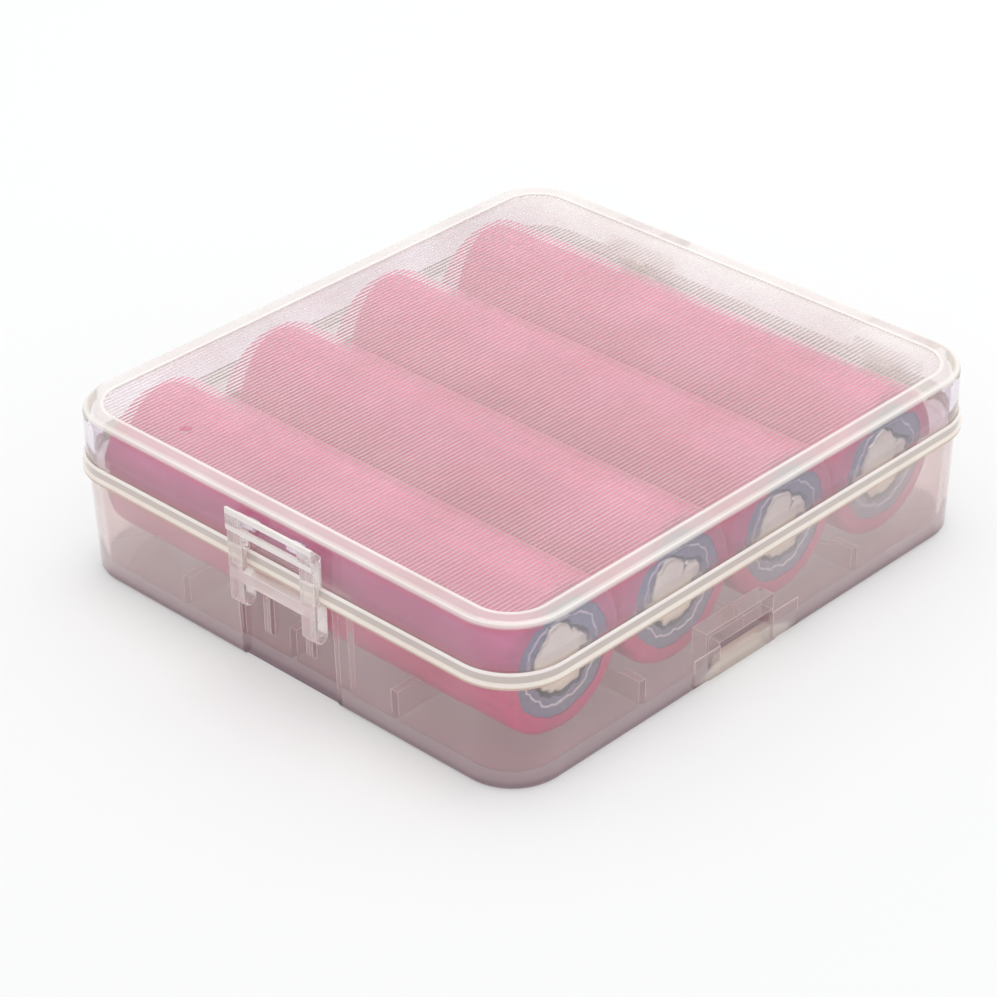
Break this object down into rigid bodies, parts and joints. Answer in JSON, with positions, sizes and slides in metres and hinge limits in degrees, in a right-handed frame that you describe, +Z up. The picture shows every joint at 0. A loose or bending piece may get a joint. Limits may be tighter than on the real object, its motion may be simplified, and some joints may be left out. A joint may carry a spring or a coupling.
{
  "type": "battery cell storage box",
  "caption": "Flat see-through plastic box with a hinged ribbed lid, a swinging snap latch and a cord loop, holding a row of cylindrical cells.",
  "frame": {"origin": "centre of the case's outline on the flat underside of the base", "axes": "+Z up; X along the cells, +X towards their positive ends and the cord loop; -Y towards the latch, +Y towards the hinge"},
  "size_m": [0.0742, 0.0864, 0.0219],
  "materials": {
    "tray_plastic": "frosted, see-through",
    "lid_plastic": "see-through, ribbed on top",
    "clip_plastic": "see-through",
    "shrink_film": "satin film",
    "fibre_ring": "matt",
    "nickel_plate": "satin",
    "can_steel": "satin",
    "seal_plastic": "matt",
    "vent_disc": "satin",
    "electrode_roll": "matt"
  },
  "bodies": {
    "base": {"base_tray": "tray_plastic", "cell_1_sleeve": "shrink_film", "cell_1_ring": "fibre_ring", "cell_1_cap": "nickel_plate", "cell_1_can": "can_steel", "cell_1_gasket": "seal_plastic", "cell_1_vent": "vent_disc", "cell_1_roll": "electrode_roll", "cell_2_sleeve": "shrink_film", "cell_2_ring": "fibre_ring", "cell_2_cap": "nickel_plate", "cell_2_can": "can_steel", "cell_2_gasket": "seal_plastic", "cell_2_vent": "vent_disc", "cell_2_roll": "electrode_roll", "cell_3_sleeve": "shrink_film", "cell_3_ring": "fibre_ring", "cell_3_cap": "nickel_plate", "cell_3_can": "can_steel", "cell_3_gasket": "seal_plastic", "cell_3_vent": "vent_disc", "cell_3_roll": "electrode_roll", "cell_4_sleeve": "shrink_film", "cell_4_ring": "fibre_ring", "cell_4_cap": "nickel_plate", "cell_4_can": "can_steel", "cell_4_gasket": "seal_plastic", "cell_4_vent": "vent_disc", "cell_4_roll": "electrode_roll"},
    "lid": {"lid": "lid_plastic"},
    "latch": {"latch_clip": "clip_plastic"}
  },
  "joints": [
    {"name": "lid_hinge", "type": "hinge", "parent": "base", "child": "lid", "pos_m": [0, 0.04272, 0.0146], "axis": [-1, 0, 0], "range_deg": [0, 180]},
    {"name": "latch_pivot", "type": "hinge", "parent": "lid", "child": "latch", "pos_m": [0.001, -0.04133, 0.01985], "axis": [-1, 0, 0], "range_deg": [0, 40]}
  ]
}
